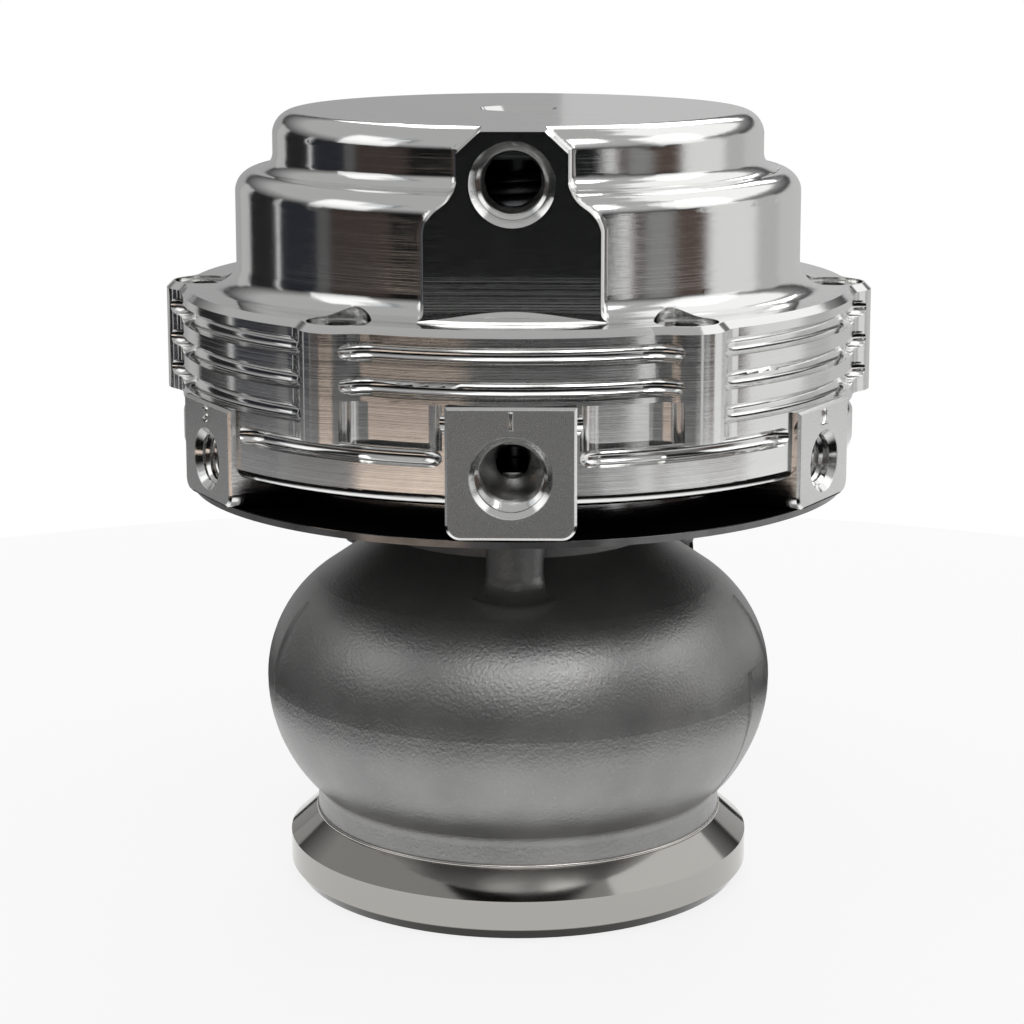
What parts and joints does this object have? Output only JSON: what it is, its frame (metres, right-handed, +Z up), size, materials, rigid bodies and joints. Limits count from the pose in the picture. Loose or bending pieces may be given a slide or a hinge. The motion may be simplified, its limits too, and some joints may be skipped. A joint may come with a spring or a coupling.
{
  "type": "turbo wastegate",
  "caption": "External exhaust wastegate: polished two-tier actuator cap and finned housing with threaded air and water ports over a bulbous cast valve body with V-band flanges.",
  "frame": {"origin": "centre of the inlet bore in the plane of the inlet flange's face", "axes": "+Z up along the valve stem, from the inlet flange to the actuator cap; -Y the front, where the air ports are; +Y the exhaust outlet; +X to the right seen from the front"},
  "size_m": [0.0928, 0.1016, 0.1024],
  "materials": {
    "cast_stainless": "sand-cast, satin",
    "machined_stainless": "turned, semi-gloss",
    "bronze": "turned bronze",
    "gasket_steel": "satin sheet",
    "shield_steel": "dark glossy sheet steel with a bare edge",
    "polished_aluminium": "machined from billet and polished",
    "plain_aluminium": "turned",
    "fastener_steel": "plain stainless fasteners",
    "seal_rubber": "moulded",
    "diaphragm_rubber": "fabric-reinforced",
    "spring_steel": "coated spring wire"
  },
  "bodies": {
    "casing": {"valve_body": "cast_stainless", "valve_seat": "machined_stainless", "valve_guide": "bronze", "body_gasket": "gasket_steel", "heat_shield": "shield_steel", "actuator_housing": "polished_aluminium", "housing_bolts": "fastener_steel", "housing_bolt_washers": "fastener_steel", "stem_bush": "bronze", "bush_o_rings": "seal_rubber", "stem_seal": "seal_rubber", "seal_retainer": "machined_stainless", "diaphragm": "diaphragm_rubber", "spring_outer": "spring_steel", "spring_middle": "spring_steel", "spring_inner": "spring_steel", "actuator_cap": "polished_aluminium", "cap_screws": "fastener_steel", "rear_port_plug": "fastener_steel"},
    "valve_train": {"valve": "machined_stainless", "lower_piston": "plain_aluminium", "spring_seat": "plain_aluminium", "piston_washer": "fastener_steel", "piston_nut": "fastener_steel"}
  },
  "joints": [
    {"name": "valve_lift", "type": "slide", "parent": "casing", "child": "valve_train", "axis": [0, 0, 1], "range_m": [0, 0.009], "stiffness_N_per_m": 12000, "springref_m": -0.012, "deforming": ["spring_outer", "spring_middle", "spring_inner", "diaphragm"]}
  ]
}
